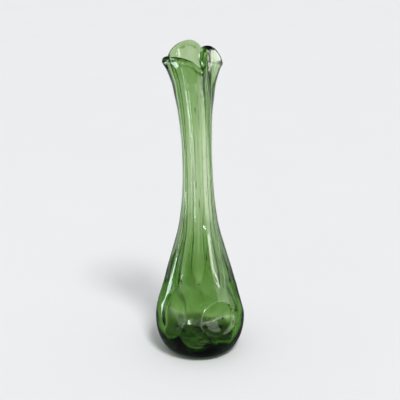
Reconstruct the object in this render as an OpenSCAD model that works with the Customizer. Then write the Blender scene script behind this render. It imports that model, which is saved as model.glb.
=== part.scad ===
// Bud vase in green glass: a heavy round bulb with thumbprint hollows, a long fluted neck that
// leans a little, and a flared mouth pulled out into uneven petals.
// Millimetres. The vase stands on z = 0, and the middle of its foot is at the origin.

/* [Bulb] */
// Radius of the bulb at its widest
bulb_r = 35.5; // [30:0.5:40]
// Height of the widest ring
bulb_z = 26; // [22:1:32]
// Radius where the rounded bulb meets the flat foot
foot_r = 22.5; // [20:0.5:26]
// Depth of the thumbprints, as a share of the depths in their list
thumb_share = 1; // [0:0.1:1.1]

/* [Neck] */
// Radius of the neck at its narrowest
neck_r = 11.4; // [10:0.1:14]
// Height of the narrowest part of the neck
neck_z = 160; // [140:1:170]
// Depth of the flutes cut outside, as a share of the radius
flute_out = 0.045; // [0:0.005:0.05]
// Depth of the flutes that the hollow has, as a share of the radius
flute_in = 0.07; // [0:0.005:0.08]
// How far the mouth leans to one side
lean = 7; // [0:0.5:8]

/* [Mouth] */
// Height of the mouth before its petals rise and dip
mouth_h = 238; // [225:1:250]
// Radius of the mouth before its petals rise and dip
mouth_r = 20; // [18:0.5:23]

/* [Glass] */
// Thickness of the solid glass under the hollow
floor_t = 5; // [4:0.5:10]
// Wall thickness in the bulb
bulb_wall = 4.8; // [4.4:0.2:5.4]
// Wall thickness in the shoulder, above the bulb
shoulder_wall = 6.3; // [5:0.1:6.5]
// Wall thickness in the neck
neck_wall = 2.8; // [2:0.1:3]
// Wall thickness in the flare under the lip
flare_wall = 4.5; // [3:0.1:5]
// Wall thickness at the rounded lip
lip_wall = 5; // [4:0.1:5.8]

/* [Hidden] */

glass_green = [0.33, 0.55, 0.22, 0.6];

// Mesh: steps around, and steps up each stretch
around = 64;
foot_steps = 8;
shoulder_steps = 16;
neck_steps = 13;
hollow_steps = 14;
floor_steps = 7;
lip_steps = 4;

// Shallow kick-up in the middle of the foot
kick_r = 15;
kick_h = 1.4;
kick_steps = 3;

// Shoulder: share of the way from the bulb to the neck, and share of the radius still to lose.
// The first point mirrors the third, so the curve leaves the bulb straight up.
shoulder = [[-0.09, 0.93], [0, 1], [0.09, 0.93], [0.19, 0.768], [0.31, 0.576], [0.45, 0.36], [0.58, 0.173],
            [0.73, 0.059], [0.9, 0.005]];
// Flare: share of the way from the neck to the mouth, and share of the radius gained
flare = [[0.15, 0.005], [0.49, 0.18], [0.66, 0.355], [0.81, 0.52], [1, 1]];

// Lip: azimuth in degrees, radius less mouth_r, height less mouth_h, all around the mouth's middle.
// From the left: a nub, a low petal in front, a folded petal on the right, a wide one at the back.
lip = [[-171, 0, -3.7], [-157, -1.2, -2], [-138, -1.2, 0.7], [-117, -0.8, 1.2], [-99, -0.7, 0.2],
       [-84, -1.4, -1.8], [-70, -2.3, -5.4], [-57, -2.8, -7.4], [-46, -4, -4.5], [-37, -6, 1],
       [-29, -7.2, 5], [-19, -6.3, 6.3], [-9, -3.8, 6.8], [0, -0.9, 3.7], [5, 1.9, -1], [10, 3.5, -6],
       [22, 2, -7.5], [36, -3.3, -7], [47, -3.5, -4.5], [60, -2, 0.5], [76, -1, 5], [95, -1, 6.5],
       [122, -1.6, 4.8], [140, -1.9, 2], [153, -1.9, -1.2], [163, -2.2, -3.3], [171, -1.2, -2.2],
       [180, 0, -2.2]];

// Share of the lean that is steady up the body, and how the rest gathers near the mouth
steady_lean = 0.38;
lean_power = 5;

// Where the pull on the petals begins, and how it gathers towards the lip
pull_z = 165;
pull_power = 2.6;

// Thumbprints: azimuth, height, half width, half height, depth. Five around the bulb, the rest low down.
thumbs = [[-131, 41, 13, 16, 3.4], [-62, 37, 17, 14, 4.2], [11, 40, 11, 14, 2.6], [84, 39, 14, 15, 4.2],
          [150, 41, 12, 15, 3], [-84, 14, 12, 9, 3], [42, 15, 12, 11, 2.8], [82, 13, 12, 10, 2.8],
          [122, 15, 12, 11, 2.8]];
// How softly the thumbprints' edges run out, and the share of their depth that bulges into the hollow
thumb_edge = 1.4;
thumb_in = 0.8;

// Ribs, left standing between the flutes: azimuths, half width in degrees, how far they stand above
// the plain side as a share of the radius, and the share of them that dies out up the neck
ribs = [-145, -115, -69, -35, -2, 33, 70, 108, 143, 179];
rib_half = 2.5;
rib_stand = 0.015;
rib_dying = 0.7;
dying_z = [110, 170];
// Flutes: height of their round lower ends, and how round those are
flute_low = 70;
flute_round = 14;

// Wall: height, thickness
walls = [[0, bulb_wall], [34, bulb_wall], [52, shoulder_wall], [68, shoulder_wall], [90, 5.4], [130, 3.1],
         [165, neck_wall], [190, 3.6], [mouth_h - 26, flare_wall], [mouth_h - 8, flare_wall],
         [mouth_h, lip_wall]];
// Bead at the lip: how far it stands out, how far down it reaches, and the rise of its round top
bead = 0.8;
bead_h = 2.2;
lip_rise = 2.5;

// Hollow: height where its rounded bottom becomes the wall, and how square that bottom is
hollow_z = 30;
hollow_power = 3;
// The hollow's bottom rises and dips in five lobes: height, and azimuth of one
lobes = 5;
lobe_h = 5.5;
lobe_start = 84;

function ease(t) = let (u = min(max(t, 0), 1)) u * u * (3 - 2 * u);

// Smooth curve through points [x, y, ...]: column c at x
function span_at(pts, x, i = 0) = i >= len(pts) - 2 || x < pts[i + 1][0] ? i : span_at(pts, x, i + 1);
function slope(pts, i, c) = let (a = max(i - 1, 0), b = min(i + 1, len(pts) - 1))
    (pts[b][c] - pts[a][c]) / (pts[b][0] - pts[a][0]);
function curve(pts, x, c = 1) = let (i = span_at(pts, x), w = pts[i + 1][0] - pts[i][0], t = (x - pts[i][0]) / w)
    pts[i][c] * (2 * t ^ 3 - 3 * t ^ 2 + 1) + slope(pts, i, c) * w * (t ^ 3 - 2 * t ^ 2 + t)
    + pts[i + 1][c] * (3 * t ^ 2 - 2 * t ^ 3) + slope(pts, i + 1, c) * w * (t ^ 3 - t ^ 2);

// Outside radius before ribs, thumbprints and petals
side_pts = concat(
    [for (p = shoulder) [bulb_z + p[0] * (neck_z - bulb_z), neck_r + p[1] * (bulb_r - neck_r)]],
    [for (p = flare) [neck_z + p[0] * (mouth_h - neck_z), neck_r + p[1] * (mouth_r - neck_r)]]);
function side_r(z) = z < bulb_z
    ? foot_r + (bulb_r - foot_r) * sqrt(max(0, 1 - (1 - z / bulb_z) ^ 2))
    : curve(side_pts, z);

// Azimuths, and the lip's offsets at each of them
azimuths = [for (j = [0:around - 1]) lip[0][0] + 360 * j / around];
lip_loop = concat(
    [for (i = [len(lip) - 2:len(lip) - 1]) lip[i] - [360, 0, 0]],
    lip,
    [for (i = [0:2]) lip[i] + [360, 0, 0]]);
lip_at = [for (a = azimuths) [curve(lip_loop, a, 1), curve(lip_loop, a, 2)]];

// Turn from azimuth b to azimuth a, between -180 and 180
function turn(a, b) = let (d = a - b) d - 360 * round(d / 360);

function print_dip(a, z, print) = let (
    s = (turn(a, print[0]) * PI / 180 * bulb_r / print[2]) ^ 2 + ((z - print[1]) / print[3]) ^ 2)
    thumb_share * print[4] * max(0, 1 - s) ^ thumb_edge;
function thumb_dip(a, z) = max([for (print = thumbs) print_dip(a, z, print)]);

// Depth of the flutes from 0 to 1: 1 in the middle of a flute, 0 on the ribs and below the flutes' ends
rib_loop = concat(ribs, [ribs[0] + 360]);
function fade(z) = 1 - rib_dying * ease((z - dying_z[0]) / (dying_z[1] - dying_z[0]));
function across(a, i) = let (low = rib_loop[i], high = rib_loop[i + 1])
    min(1, ((a - (low + high) / 2) / ((high - low) / 2 - rib_half)) ^ 2);
function flute(a, z) = let (
    turned = a < ribs[0] ? a + 360 : a,
    u = across(turned, max([for (i = [0:len(ribs) - 1]) rib_loop[i] <= turned ? i : 0])))
    fade(z) * (1 - u) * ease((z - flute_low + flute_round * (1 - u)) / flute_round);
function rib_rise(a, z) = side_r(z)
    * (rib_stand * fade(z) * ease((z - flute_low + flute_round) / flute_round) - flute_out * flute(a, z));

// Share of the petals' pull at height z of the plain vase
function pull(z) = max(0, (z - pull_z) / (mouth_h - pull_z));

// Outside and inside radius at azimuth j and height z of the plain vase
function petal_r(j, z) = side_r(z) + lip_at[j][0] * pull(z) ^ pull_power;
function outer_r(j, z) = petal_r(j, z) - thumb_dip(azimuths[j], z) + rib_rise(azimuths[j], z)
    + bead * exp(-((z - mouth_h) / bead_h) ^ 2);
function skew(j, z) = let (
    r_back = petal_r((j + around - 1) % around, z),
    r_next = petal_r((j + 1) % around, z))
    (r_next - r_back) / (4 * PI / around) / petal_r(j, z);
function inner_r(j, z) = petal_r(j, z) - curve(walls, z) * sqrt(1 + skew(j, z) ^ 2)
    - thumb_in * thumb_dip(azimuths[j], z) + flute_in * side_r(z) * flute(azimuths[j], z);

// The axis leans steadily from the bulb up, and more near the mouth
function lean_x(z) = let (w = max(0, z - bulb_z) / (mouth_h - bulb_z))
    -lean * (steady_lean * w + (1 - steady_lean) * w ^ lean_power);

// A point at azimuth j and radius r, at height z of the plain vase, pulled with the petals
function place(j, r, z, rise = 0) = [r * cos(azimuths[j]) + lean_x(z), r * sin(azimuths[j]),
    z + lip_at[j][1] * pull(z) + rise];

// Heights of the rings, up the outside and down the inside
outer_z = concat(
    [for (i = [0:foot_steps - 1]) bulb_z * (1 - cos(90 * i / foot_steps))],
    [for (i = [0:shoulder_steps - 1]) bulb_z + (pull_z - bulb_z) * i / shoulder_steps],
    [for (i = [0:neck_steps]) pull_z + (mouth_h - pull_z) * i / neck_steps]);
inner_z = concat(
    [for (i = [0:neck_steps - 1]) mouth_h - (mouth_h - pull_z) * i / neck_steps],
    [for (i = [0:hollow_steps]) pull_z - (pull_z - hollow_z) * i / hollow_steps]);

kick_rings = [for (i = [1:kick_steps]) [for (j = [0:around - 1])
    let (r = kick_r * i / kick_steps) place(j, r, kick_h * (1 + cos(180 * i / kick_steps)) / 2)]];
outer_rings = [for (z = outer_z) [for (j = [0:around - 1]) place(j, outer_r(j, z), z)]];
lip_rings = [for (i = [1:lip_steps - 1]) [for (j = [0:around - 1])
    let (t = 180 * i / lip_steps, r_out = outer_r(j, mouth_h), r_in = inner_r(j, mouth_h))
    place(j, (r_out + r_in) / 2 + (r_out - r_in) / 2 * cos(t), mouth_h, lip_rise * sin(t))]];
inner_rings = [for (z = inner_z) [for (j = [0:around - 1]) place(j, inner_r(j, z), z)]];
floor_rings = [for (i = [1:floor_steps - 1]) [for (j = [0:around - 1])
    let (t = 90 * i / floor_steps, share = cos(t) ^ (2 / hollow_power),
        lobe = lobe_h * share ^ 2 * sin(t) ^ 2 * cos(lobes * (azimuths[j] - lobe_start)))
    place(j, inner_r(j, hollow_z) * share, hollow_z - (hollow_z - floor_t) * sin(t) ^ (2 / hollow_power), lobe)]];

rings = concat(kick_rings, outer_rings, lip_rings, inner_rings, floor_rings);
last = len(rings) - 1;
points = concat([[0, 0, kick_h]], [for (ring = rings) for (p = ring) p], [place(0, 0, floor_t)]);
top_point = len(points) - 1;

function at(i, j) = 1 + i * around + j % around;
faces = concat(
    [for (j = [0:around - 1]) [0, at(0, j), at(0, j + 1)]],
    [for (i = [0:last - 1]) for (j = [0:around - 1]) [at(i, j), at(i + 1, j), at(i + 1, j + 1)]],
    [for (i = [0:last - 1]) for (j = [0:around - 1]) [at(i, j), at(i + 1, j + 1), at(i, j + 1)]],
    [for (j = [0:around - 1]) [top_point, at(last, j + 1), at(last, j)]]);

module vase_glass() {
    color(glass_green) polyhedron(points = points, faces = faces, convexity = 6);
}

vase_glass();
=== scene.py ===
import math

import bpy
import numpy as np
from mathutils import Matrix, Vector


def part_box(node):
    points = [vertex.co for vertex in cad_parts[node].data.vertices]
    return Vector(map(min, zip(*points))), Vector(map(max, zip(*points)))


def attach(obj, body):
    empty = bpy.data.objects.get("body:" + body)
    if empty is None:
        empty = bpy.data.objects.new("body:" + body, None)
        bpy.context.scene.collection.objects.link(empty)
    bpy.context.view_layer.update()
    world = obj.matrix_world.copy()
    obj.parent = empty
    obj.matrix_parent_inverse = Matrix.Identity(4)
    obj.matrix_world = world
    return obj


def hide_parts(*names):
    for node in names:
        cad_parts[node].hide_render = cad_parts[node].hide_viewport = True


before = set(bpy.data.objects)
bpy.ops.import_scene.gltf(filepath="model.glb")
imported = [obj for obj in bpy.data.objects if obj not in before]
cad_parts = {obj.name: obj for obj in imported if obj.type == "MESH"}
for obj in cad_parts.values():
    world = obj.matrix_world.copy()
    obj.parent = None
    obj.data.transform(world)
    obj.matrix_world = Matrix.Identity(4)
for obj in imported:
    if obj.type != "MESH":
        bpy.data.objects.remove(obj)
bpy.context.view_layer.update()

LOW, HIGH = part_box("vase_glass")
HEIGHT = HIGH.z - LOW.z

# ---------------------------------------------------------------- the vase's sizes, in millimetres
MM = 0.001
BULB_R = 35.5
BULB_Z = 26
FOOT_R = 22.5
NECK_R = 11.4
NECK_Z = 160
LEAN = 7
MOUTH_H = 238
MOUTH_R = 20
FLOOR_T = 5
BULB_WALL = 4.8
SHOULDER_WALL = 6.3
NECK_WALL = 2.8
FLARE_WALL = 4.5
LIP_WALL = 5.0
LIP_RISE = 2.5
BEAD = 0.8
BEAD_H = 2.2
KICK_R = 15
KICK_H = 1.4

# share of the way from bulb to neck, share of the radius still to lose
SHOULDER = [(-0.09, 0.93), (0, 1), (0.09, 0.93), (0.19, 0.768), (0.31, 0.576), (0.45, 0.36),
            (0.58, 0.173), (0.73, 0.059), (0.9, 0.005)]
# share of the way from neck to mouth, share of the radius gained
FLARE = [(0.15, 0.005), (0.49, 0.18), (0.66, 0.355), (0.81, 0.52), (1, 1)]
# azimuth in degrees, radius less MOUTH_R, height less MOUTH_H
LIP = [(-171, 0, -3.7), (-157, -1.2, -2), (-138, -1.2, 0.7), (-117, -0.8, 1.2), (-99, -0.7, 0.2),
       (-84, -1.4, -1.8), (-70, -2.3, -5.4), (-57, -2.8, -7.4), (-46, -4, -4.5), (-37, -6, 1),
       (-29, -7.2, 5), (-19, -6.3, 6.3), (-9, -3.8, 6.8), (0, -0.9, 3.7), (5, 1.9, -1), (10, 3.5, -6),
       (22, 2, -7.5), (36, -3.3, -7), (47, -3.5, -4.5), (60, -2, 0.5), (76, -1, 5), (95, -1, 6.5),
       (122, -1.6, 4.8), (140, -1.9, 2), (153, -1.9, -1.2), (163, -2.2, -3.3), (171, -1.2, -2.2),
       (180, 0, -2.2)]
# the wall: height, thickness
WALLS = [(0, BULB_WALL), (34, BULB_WALL), (52, SHOULDER_WALL), (68, SHOULDER_WALL), (90, 5.4), (130, 3.1),
         (165, NECK_WALL), (190, 3.6), (MOUTH_H - 26, FLARE_WALL), (MOUTH_H - 8, FLARE_WALL),
         (MOUTH_H, LIP_WALL)]
# share of the lean that is steady up the body, and how the rest gathers near the mouth
STEADY_LEAN = 0.38
LEAN_POWER = 5
# where the pull on the petals begins, and how it gathers towards the lip
PULL_Z = 165
PULL_POWER = 2.6
# thumbprints pressed into the bulb: azimuth, height, half width, half height, depth
THUMBS = [(-131, 41, 13, 16, 3.4), (-62, 37, 17, 14, 4.2), (11, 40, 11, 14, 2.6), (84, 39, 14, 15, 4.2),
          (150, 41, 12, 15, 3), (-84, 14, 12, 9, 3), (42, 15, 12, 11, 2.8), (82, 13, 12, 10, 2.8),
          (122, 15, 12, 11, 2.8)]
# how softly the thumbprints' edges run out, and the share of their depth that bulges into the hollow
THUMB_EDGE = 1.4
THUMB_SHARE = 0.8
# ribs left standing between the flutes: azimuths, half width in degrees, rise as a share of the radius,
# and the share of them that dies out between two heights
RIB_AZIMUTHS = [-145, -115, -69, -35, -2, 33, 70, 108, 143, 179]
RIB_HALF = 2.5
RIB_STAND = 0.015
RIB_DYING = 0.7
DYING_Z = (110, 170)
# flutes: height and roundness of their lower ends, depth outside and in the hollow as a share of the radius
FLUTE_LOW = 70
FLUTE_ROUND = 14
FLUTE_OUT = 0.045
FLUTE_IN = 0.07
# the hollow's bottom: height where it becomes the wall, squareness, and its lobes
HOLLOW_Z = 30
HOLLOW_POWER = 3.0
LOBES = 5
FLOOR_LOBE = 5.5
LOBE_START = 84
# draw lines of the swung glass: half width in degrees, rise as a share of it, greatest twist in degrees per
# millimetre, heights they start and end at, length over which they fade in and out, height they turn about,
# and the random seed and number of those outside and of those in the hollow
LINE_HALF = (1.8, 5.0)
LINE_STEEP = (0.03, 0.09)
LINE_TWIST = 0.06
LINE_LOW = (60, 170)
LINE_HIGH = (150, 260)
LINE_FADE = 25
LINE_MIDDLE = 150
SEED_OUT, COUNT_OUT = 3, 26
SEED_IN, COUNT_IN = 8, 40
# bubbles drawn out in the neck's glass: azimuth, height, width, length
BUBBLES = [(-103, 151, 1.4, 9), (-97, 143, 1.1, 6), (-142, 150, 1.3, 8), (-88, 202, 1.4, 4),
           (-120, 118, 0.7, 4), (60, 160, 1.0, 7), (128, 135, 0.9, 6)]
# specks, the small bubbles in the rest of the wall: number, random seed, heights, widths, and the height at
# which a speck is twice as long as wide
SPECKS = 26
SPECK_SEED = 5
SPECK_HEIGHTS = (8, 110)
SPECK_WIDTHS = (0.22, 0.5)
SPECK_DRAWN = 60

# mesh density
AROUND = 260
FOOT_RINGS = 24
SIDE_RINGS = 150
LIP_RINGS = 8
FLOOR_RINGS = 22
KICK_RINGS = 6
BUBBLE_SIDES = 10
BUBBLE_RINGS = 8


def ease(t):
    """From 0 at t = 0 to 1 at t = 1, level at both ends."""
    u = np.clip(t, 0, 1)
    return u * u * (3 - 2 * u)


def curve(points, x, column=1):
    """Smooth curve through rows of points: that column's value at x."""
    rows = np.array(points, float)
    xs, ys = rows[:, 0], rows[:, column]
    x = np.asarray(x, float)
    last = len(xs) - 1
    before = np.maximum(np.arange(last + 1) - 1, 0)
    after = np.minimum(np.arange(last + 1) + 1, last)
    slope = (ys[after] - ys[before]) / (xs[after] - xs[before])
    i = np.clip(np.searchsorted(xs, x, side="right") - 1, 0, last - 1)
    w = xs[i + 1] - xs[i]
    t = (x - xs[i]) / w
    return (ys[i] * (2 * t**3 - 3 * t**2 + 1) + slope[i] * w * (t**3 - 2 * t**2 + t)
            + ys[i + 1] * (3 * t**2 - 2 * t**3) + slope[i + 1] * w * (t**3 - t**2))


SIDE = ([(BULB_Z + s * (NECK_Z - BULB_Z), NECK_R + f * (BULB_R - NECK_R)) for s, f in SHOULDER]
        + [(NECK_Z + s * (MOUTH_H - NECK_Z), NECK_R + f * (MOUTH_R - NECK_R)) for s, f in FLARE])
LIP_LOOP = ([(a - 360, r, h) for a, r, h in LIP[-2:]] + LIP + [(a + 360, r, h) for a, r, h in LIP[:3]])


def side_radius(z):
    """Radius of the plain round vase, before it was pulled, pressed and fluted."""
    foot = FOOT_R + (BULB_R - FOOT_R) * np.sqrt(np.clip(1 - (1 - z / BULB_Z) ** 2, 0, 1))
    return np.where(z < BULB_Z, foot, curve(SIDE, np.maximum(z, BULB_Z)))


def lip_offset(azimuth, column):
    """That column of LIP at these azimuths."""
    return curve(LIP_LOOP, (azimuth - LIP[0][0]) % 360 + LIP[0][0], column)


def thumb_dip(azimuth, z):
    """Depth of the thumbprints at this azimuth and height."""
    depth = 0.0
    for middle, height, half_w, half_h, deep in THUMBS:
        off = (azimuth - middle + 180) % 360 - 180
        s = (np.radians(off) * BULB_R / half_w) ** 2 + ((z - height) / half_h) ** 2
        depth = np.maximum(depth, deep * np.clip(1 - s, 0, 1) ** THUMB_EDGE)
    return depth


def fade(z):
    """Share of the ribs and flutes that is left at this height."""
    return 1 - RIB_DYING * ease((z - DYING_Z[0]) / (DYING_Z[1] - DYING_Z[0]))


def flute(azimuth, z):
    """1 in the middle of a flute, 0 on the ribs between flutes and below their round ends."""
    ribs = np.array([*RIB_AZIMUTHS, RIB_AZIMUTHS[0] + 360], float)
    turned = (np.asarray(azimuth, float) - ribs[0]) % 360 + ribs[0]
    i = np.clip(np.searchsorted(ribs, turned, side="right") - 1, 0, len(ribs) - 2)
    middle, half = (ribs[i] + ribs[i + 1]) / 2, (ribs[i + 1] - ribs[i]) / 2
    within = 1 - np.clip(((turned - middle) / (half - RIB_HALF)) ** 2, 0, 1)
    return fade(z) * ease((z - FLUTE_LOW + FLUTE_ROUND * within) / FLUTE_ROUND) * within


def rib_rise(azimuth, z):
    """How far the ribs between the flutes stand above the plain side, which the flutes cut into."""
    stand = RIB_STAND * ease((z - FLUTE_LOW + FLUTE_ROUND) / FLUTE_ROUND) * fade(z)
    return side_radius(z) * (stand - FLUTE_OUT * flute(azimuth, z))


def random_lines(seed, count):
    """Draw lines: azimuth, half width, rise, twist, and the two heights that each runs between."""
    rng = np.random.default_rng(seed)
    half = rng.uniform(*LINE_HALF, count)
    return np.stack([rng.uniform(-180, 180, count), half,
                     half * rng.uniform(*LINE_STEEP, count) * rng.choice((-1, 1), count),
                     rng.uniform(-LINE_TWIST, LINE_TWIST, count), rng.uniform(*LINE_LOW, count),
                     rng.uniform(*LINE_HIGH, count)], axis=1)


def draw_lines(azimuth, z, lines):
    """How far the draw lines raise the surface."""
    total = 0.0
    for middle, half, height, twist, low, high in lines:
        off = (azimuth - middle - twist * (z - LINE_MIDDLE) + 180) % 360 - 180
        along = ease((z - low) / LINE_FADE) * ease((high - z) / LINE_FADE)
        total = total + height * along * np.exp(-((off / half) ** 2))
    return total * side_radius(z) / NECK_R


LINES_OUT = random_lines(SEED_OUT, COUNT_OUT)
LINES_IN = random_lines(SEED_IN, COUNT_IN)


def pull(z):
    """Share of the petals' pull at this height."""
    return np.clip((z - PULL_Z) / (MOUTH_H - PULL_Z), 0, None)


def petal_radius(azimuth, z):
    return side_radius(z) + lip_offset(azimuth, 1) * pull(z) ** PULL_POWER


def outer_radius(azimuth, z):
    r = petal_radius(azimuth, z) - thumb_dip(azimuth, z) + rib_rise(azimuth, z)
    return r + draw_lines(azimuth, z, LINES_OUT) + BEAD * np.exp(-(((z - MOUTH_H) / BEAD_H) ** 2))


def inner_radius(azimuth, z):
    """The hollow's radius: the wall is measured square to the petals' slanting sides."""
    step = 1.0
    r = petal_radius(azimuth, z)
    skew = (petal_radius(azimuth + step, z) - petal_radius(azimuth - step, z)) / math.radians(2 * step) / r
    r = r - curve(WALLS, z) * np.sqrt(1 + skew**2) - THUMB_SHARE * thumb_dip(azimuth, z)
    return r + FLUTE_IN * side_radius(z) * flute(azimuth, z) + draw_lines(azimuth, z, LINES_IN)


def lean_x(z):
    """How far the axis has moved sideways at this height."""
    w = np.clip(z - BULB_Z, 0, None) / (MOUTH_H - BULB_Z)
    return -LEAN * (STEADY_LEAN * w + (1 - STEADY_LEAN) * w**LEAN_POWER)


def place(azimuth, r, z, rise=0.0):
    """Points at these azimuths and radii, at height z of the plain vase, pulled with the petals."""
    a = np.radians(azimuth)
    height = z + lip_offset(azimuth, 2) * pull(z) + rise
    return np.stack([r * np.cos(a) + lean_x(z), r * np.sin(a), height + 0 * r], axis=-1)


def glass_rings(azimuth):
    """Rings of points from the middle of the foot, up the outside, over the lip and down the hollow."""
    rings = []
    for t in np.linspace(0, 1, KICK_RINGS + 1)[1:]:
        rings.append(place(azimuth, KICK_R * t + 0 * azimuth, KICK_H * (1 + math.cos(math.pi * t)) / 2))
    heights = np.concatenate([
        BULB_Z * (1 - np.cos(np.linspace(0, math.pi / 2, FOOT_RINGS, endpoint=False))),
        np.linspace(BULB_Z, MOUTH_H, SIDE_RINGS)])
    for z in heights:
        rings.append(place(azimuth, outer_radius(azimuth, z), z))
    r_out, r_in = outer_radius(azimuth, MOUTH_H), inner_radius(azimuth, MOUTH_H)
    for t in np.linspace(0, math.pi, LIP_RINGS + 2)[1:-1]:
        r = (r_out + r_in) / 2 + (r_out - r_in) / 2 * math.cos(t)
        rings.append(place(azimuth, r, MOUTH_H, LIP_RISE * math.sin(t)))
    for z in np.linspace(MOUTH_H, HOLLOW_Z, SIDE_RINGS):
        rings.append(place(azimuth, inner_radius(azimuth, z), z))
    r_hollow = inner_radius(azimuth, HOLLOW_Z)
    for t in np.linspace(0, math.pi / 2, FLOOR_RINGS + 1)[1:-1]:
        share = math.cos(t) ** (2 / HOLLOW_POWER)
        z = HOLLOW_Z - (HOLLOW_Z - FLOOR_T) * math.sin(t) ** (2 / HOLLOW_POWER)
        lobes = FLOOR_LOBE * share**2 * math.sin(t) ** 2 * np.cos(np.radians(LOBES * (azimuth - LOBE_START)))
        rings.append(place(azimuth, r_hollow * share, z, lobes))
    return rings


def closed_skin(rings, bottom, top):
    """Vertices and faces of a closed skin through rings of equal length, with a point at each end."""
    n, count = len(rings[0]), len(rings)
    points = np.concatenate([[bottom], *rings, [top]])
    around = np.arange(n)
    after = (around + 1) % n
    first, last = 1, 1 + (count - 1) * n
    faces = [(0, first + b, first + a) for a, b in zip(around, after)]
    for k in range(count - 1):
        low, high = 1 + k * n, 1 + (k + 1) * n
        faces += [(low + a, low + b, high + b, high + a) for a, b in zip(around, after)]
    tip = len(points) - 1
    faces += [(tip, last + a, last + b) for a, b in zip(around, after)]
    return points, faces


def bubble_skin(azimuth, height, width, length):
    """An air bubble in the middle of the wall, as a skin that faces inwards."""
    around = np.radians(np.linspace(0, 360, BUBBLE_SIDES, endpoint=False))
    half = math.degrees(width / 2 / float(side_radius(height)))

    def middle(z):
        return float(outer_radius(azimuth, z) + inner_radius(azimuth, z)) / 2

    def ring(z, share):
        r = middle(z) + width / 2 * share * np.sin(around)
        return place(azimuth + half * share * np.cos(around), r, z)

    steps = np.linspace(0, math.pi, BUBBLE_RINGS + 2)[1:-1]
    rings = [ring(height - length / 2 * math.cos(t), math.sin(t)) for t in steps]
    ends = [place(azimuth, middle(z), z) for z in (height - length / 2, height + length / 2)]
    return closed_skin(rings, *ends)


def bubble_skins():
    """The bubbles drawn out in the neck and the specks in the rest of the wall."""
    rng = np.random.default_rng(SPECK_SEED)
    rows = list(BUBBLES)
    for z in rng.uniform(*SPECK_HEIGHTS, SPECKS):
        width = rng.uniform(*SPECK_WIDTHS)
        rows.append((rng.uniform(-180, 180), z, width, width * (1 + z / SPECK_DRAWN)))
    return [bubble_skin(*row) for row in rows]


def join_skins(skins):
    """One set of vertices and faces out of several."""
    points, faces, start = [], [], 0
    for p, f in skins:
        points.append(p)
        faces += [tuple(i + start for i in face) for face in f]
        start += len(p)
    return np.concatenate(points), faces


def make_mesh(name, points, faces):
    """A smooth object from points in millimetres."""
    mesh = bpy.data.meshes.new(name)
    mesh.from_pydata([tuple(p) for p in points * MM], [], [tuple(int(i) for i in f) for f in faces])
    mesh.polygons.foreach_set("use_smooth", [True] * len(mesh.polygons))
    mesh.update()
    obj = bpy.data.objects.new(name, mesh)
    bpy.context.scene.collection.objects.link(obj)
    return obj


# ---------------------------------------------------------------- materials
# what the glass absorbs per metre in each colour is (1 - tint) * density
GLASS_IOR = 1.5
GLASS_TINT = (0.33, 0.61, 0.04)
GLASS_DENSITY = 240.0
# fine surface of hand-worked glass: smudges, slight differences of tint and ripples drawn out up the neck;
# noise scales are per metre
SMUDGE_SCALE = 60
SMUDGE_NOISE = (0.5, 0.75)
SMUDGE_ROUGHNESS = 0.02
TINT_SCALE = 25
CLEAN_TINT = (1, 1, 1, 1)
WORN_TINT = (0.95, 0.97, 0.93, 1)
RIPPLE_SCALE = 160
RIPPLE_DRAWN = 0.25
RIPPLE_STRENGTH = 0.25
RIPPLE_DEPTH = 0.0003
# the floor's two mottled tones
MOTTLE_SCALE = 9
FLOOR_DARK = (0.79, 0.795, 0.81, 1)
FLOOR_LIGHT = (0.81, 0.815, 0.83, 1)


def new_material(name):
    """A material with its node tree's nodes, links and main shader."""
    mat = bpy.data.materials.new(name)
    mat.use_nodes = True
    nodes = mat.node_tree.nodes
    return mat, nodes, mat.node_tree.links, nodes["Principled BSDF"]


def noise(nodes, links, vector, scale, detail):
    """Output of a noise texture at that scale per metre."""
    node = nodes.new("ShaderNodeTexNoise")
    node.inputs["Scale"].default_value = scale
    node.inputs["Detail"].default_value = detail
    links.new(vector, node.inputs["Vector"])
    return node.outputs["Fac"]


def two_tones(nodes, links, factor, one, other):
    """Output of a mix of two colours by a factor."""
    mix = nodes.new("ShaderNodeMix")
    mix.data_type = "RGBA"
    mix.inputs[6].default_value, mix.inputs[7].default_value = one, other
    links.new(factor, mix.inputs[0])
    return mix.outputs[2]


def green_glass():
    """Clear glass that is green all through, with a slightly uneven surface."""
    mat, nodes, links, shader = new_material("green_glass")
    shader.inputs["Base Color"].default_value = CLEAN_TINT
    shader.inputs["Transmission Weight"].default_value = 1
    shader.inputs["IOR"].default_value = GLASS_IOR
    where = nodes.new("ShaderNodeTexCoord").outputs["Object"]

    rough = nodes.new("ShaderNodeMapRange")
    rough.inputs["From Min"].default_value, rough.inputs["From Max"].default_value = SMUDGE_NOISE
    rough.inputs["To Min"].default_value = 0
    rough.inputs["To Max"].default_value = SMUDGE_ROUGHNESS
    links.new(noise(nodes, links, where, SMUDGE_SCALE, 3), rough.inputs["Value"])
    links.new(rough.outputs["Result"], shader.inputs["Roughness"])

    worn = noise(nodes, links, where, TINT_SCALE, 2)
    links.new(two_tones(nodes, links, worn, CLEAN_TINT, WORN_TINT), shader.inputs["Base Color"])

    drawn = nodes.new("ShaderNodeMapping")
    drawn.inputs["Scale"].default_value = (1, 1, RIPPLE_DRAWN)
    links.new(where, drawn.inputs["Vector"])
    bump = nodes.new("ShaderNodeBump")
    bump.inputs["Strength"].default_value = RIPPLE_STRENGTH
    bump.inputs["Distance"].default_value = RIPPLE_DEPTH
    links.new(noise(nodes, links, drawn.outputs["Vector"], RIPPLE_SCALE, 2), bump.inputs["Height"])
    links.new(bump.outputs["Normal"], shader.inputs["Normal"])

    volume = nodes.new("ShaderNodeVolumeAbsorption")
    volume.inputs["Color"].default_value = (*GLASS_TINT, 1)
    volume.inputs["Density"].default_value = GLASS_DENSITY
    links.new(volume.outputs["Volume"], nodes["Material Output"].inputs["Volume"])
    return mat


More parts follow.
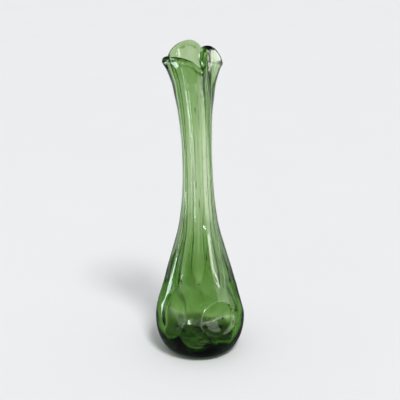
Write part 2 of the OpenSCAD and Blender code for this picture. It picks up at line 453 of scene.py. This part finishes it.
def pale_floor():
    """A matt floor in two close tones."""
    mat, nodes, links, shader = new_material("pale_floor")
    where = nodes.new("ShaderNodeTexCoord").outputs["Object"]
    mottle = noise(nodes, links, where, MOTTLE_SCALE, 3)
    links.new(two_tones(nodes, links, mottle, FLOOR_DARK, FLOOR_LIGHT), shader.inputs["Base Color"])
    shader.inputs["Roughness"].default_value = 0.9
    shader.inputs["Specular IOR Level"].default_value = 0.1
    return mat


def pale_glow():
    """A surface that only shines."""
    mat, _, _, shader = new_material("glow")
    shader.inputs["Base Color"].default_value = (0, 0, 0, 1)
    shader.inputs["Specular IOR Level"].default_value = 0
    shader.inputs["Emission Color"].default_value = GLOW_COLOR
    shader.inputs["Emission Strength"].default_value = GLOW
    return mat


# ---------------------------------------------------------------- the vase
azimuths = np.arange(AROUND) * 360 / AROUND - 180
glass = closed_skin(glass_rings(azimuths), (0, 0, KICK_H), (0, 0, FLOOR_T))
vase_points, vase_faces = join_skins([glass, *bubble_skins()])
vase = make_mesh("bud_vase", vase_points, vase_faces)
vase.data.materials.append(green_glass())
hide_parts("vase_glass")
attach(vase, "root")


# ---------------------------------------------------------------- stage, light and camera, in metres
# the floor: radius of it all, radius of the middle that the glass doesn't reflect, gap under the vase
FLOOR_SIZE = 6
NEAR_R = 0.33
FLOOR_GAP = 0.0002
ROUND_SIDES = 96
# a ring of pale wall far around, which shows through the glass only: radius, height, radiance, colour
GLOW_R = 2.0
GLOW_H = 1.2
GLOW = 0.6
GLOW_COLOR = (0.93, 1.0, 0.9, 1)
# far lights: azimuth, height and spread in degrees, and power
SKY = (0, 90, 120, 1.42)
KEY = (-64, 60, 14, 1.9)
WORLD_COLOR = (0.95, 0.96, 1.0, 1)
WORLD = 0.1
# standing strips: name, azimuth, distance, width, low and high end, radiance, colour
STRIPS = [("strip_left", 166, 0.45, 0.12, 0.02, 0.6, 10, (0.8, 0.95, 0.95)),
          ("strip_back_left", 150, 0.5, 0.03, 0.02, 0.6, 9, (0.8, 0.93, 1.0)),
          ("strip_front_left", -130, 0.35, 0.012, 0.12, 0.4, 9, (0.85, 0.97, 1.0)),
          ("strip_right", -10, 0.5, 0.07, 0.05, 0.6, 8, (1.0, 1.0, 0.92)),
          ("fill_right", -20, 0.4, 0.25, 0.0, 0.3, 2.0, (1.0, 1.0, 0.95)),
          ("spark", -70, 0.9, 0.09, 0.03, 0.06, 26, (1.0, 1.0, 1.0))]
# strips on the floor that point away from the vase: name, azimuth, near and far end, width, radiance, colour,
# and how far they all lie above the floor
FLOOR_STRIPS = [("line_left", 166, 0.16, 0.6, 0.08, 8, (0.8, 0.95, 0.95)),
                ("line_front_left", -132, 0.26, 0.6, 0.03, 14, (0.85, 0.97, 1.0)),
                ("line_flare", -138, 0.2, 0.4, 0.03, 6, (0.85, 0.95, 1.0)),
                ("line_thin", -116, 0.3, 0.7, 0.05, 14, (1.0, 1.0, 1.0)),
                ("line_right", -28, 0.2, 0.5, 0.012, 6, (1.0, 1.0, 0.92)),
                ("glow_right", -38, 0.24, 0.62, 0.5, 2.2, (1.0, 0.93, 0.93))]
STRIP_LIFT = 0.001
# the camera: pitch, distance, focal length in millimetres, and the point it looks at
CAM_PITCH = math.radians(22)
CAM_DISTANCE = 0.8
CAM_LENS = 93.4
AIM = Vector((0, 0, HEIGHT * 0.508))


def circle(radius, z):
    """Points of a circle around the vase."""
    turns = [i * 2 * math.pi / ROUND_SIDES for i in range(ROUND_SIDES)]
    return [(radius * math.cos(t), radius * math.sin(t), z) for t in turns]


def stage_piece(name, points, faces, material):
    """A mesh that belongs to the stage, not to the vase."""
    mesh = bpy.data.meshes.new(name)
    mesh.from_pydata(points, [], faces)
    mesh.materials.append(material)
    obj = bpy.data.objects.new(name, mesh)
    bpy.context.scene.collection.objects.link(obj)
    return obj


def stage_ring(name, one, other, material):
    """A band of stage between two circles of points."""
    n = ROUND_SIDES
    sides = [(i, (i + 1) % n, (i + 1) % n + n, i + n) for i in range(n)]
    return stage_piece(name, one + other, sides, material)


def make_floor():
    """A wide pale floor, whose round middle under the vase isn't reflected in the dark glass."""
    material = pale_floor()
    z = LOW.z - FLOOR_GAP
    near = stage_piece("floor_near", circle(NEAR_R, 0), [tuple(range(ROUND_SIDES))], material)
    near.location.z = z
    near.visible_glossy = False
    stage_ring("floor", circle(FLOOR_SIZE, 0), circle(NEAR_R, 0), material).location.z = z


def make_glow():
    """The ring of pale wall that shows through the glass only."""
    ring = stage_ring("glow", circle(GLOW_R, 0), circle(GLOW_R, GLOW_H), pale_glow())
    ring.visible_camera = False
    ring.visible_diffuse = False
    ring.visible_glossy = False
    ring.visible_shadow = False


def new_light(name, kind):
    """A light of that kind in the scene."""
    data = bpy.data.lights.new(name, kind)
    obj = bpy.data.objects.new(name, data)
    bpy.context.scene.collection.objects.link(obj)
    return obj


def around_vase(azimuth, distance, z):
    """Point at that azimuth in degrees and distance from the vase's axis."""
    a = math.radians(azimuth)
    return Vector((distance * math.cos(a), distance * math.sin(a), z))


def sun_light(name, azimuth, height, spread, power):
    """A far light from that azimuth and height in degrees, as wide as spread, that leaves no highlight."""
    obj = new_light(name, "SUN")
    obj.data.energy = power
    obj.data.angle = math.radians(spread)
    h = math.radians(height)
    toward = around_vase(azimuth, math.cos(h), math.sin(h))
    obj.rotation_euler = toward.to_track_quat("Z", "Y").to_euler()
    obj.visible_glossy = False


def reflected_strip(name, at, width, length, radiance, color):
    """A rectangular light that shows only as a reflection in the glass."""
    obj = new_light(name, "AREA")
    obj.data.shape = "RECTANGLE"
    obj.data.size, obj.data.size_y = width, length
    obj.data.energy = math.pi * width * length * radiance
    obj.data.color = color
    obj.location = at
    obj.visible_camera = False
    obj.visible_diffuse = False
    obj.visible_transmission = False
    return obj


def strip_light(name, azimuth, distance, width, low, high, radiance, color):
    """An upright strip that faces the vase."""
    at = around_vase(azimuth, distance, (low + high) / 2)
    obj = reflected_strip(name, at, width, high - low, radiance, color)
    obj.rotation_euler = Vector((-at.x, -at.y, 0)).to_track_quat("-Z", "Y").to_euler()


def floor_strip(name, azimuth, near, far, width, radiance, color):
    """A strip that lies on the floor, faces up and points away from the vase."""
    at = around_vase(azimuth, (near + far) / 2, STRIP_LIFT)
    obj = reflected_strip(name, at, width, far - near, radiance, color)
    obj.rotation_euler = (math.pi, 0, math.radians(azimuth) + math.pi / 2)


make_floor()
make_glow()
sun_light("sky", *SKY)
sun_light("key", *KEY)
for strip in STRIPS:
    strip_light(*strip)
for strip in FLOOR_STRIPS:
    floor_strip(*strip)

world = bpy.data.worlds.new("studio")
world.use_nodes = True
world.node_tree.nodes["Background"].inputs["Color"].default_value = WORLD_COLOR
world.node_tree.nodes["Background"].inputs["Strength"].default_value = WORLD
bpy.context.scene.world = world
bpy.context.scene.cycles.max_bounces = 32
bpy.context.scene.cycles.transmission_bounces = 32
bpy.context.scene.cycles.glossy_bounces = 16
bpy.context.scene.view_settings.view_transform = "Standard"

camera = bpy.data.objects.new("camera", bpy.data.cameras.new("camera"))
bpy.context.scene.collection.objects.link(camera)
camera.data.lens = CAM_LENS
back = Vector((0, -math.cos(CAM_PITCH), math.sin(CAM_PITCH)))
camera.location = AIM + back * CAM_DISTANCE
camera.rotation_euler = (-back).to_track_quat("-Z", "Y").to_euler()
bpy.context.scene.camera = camera
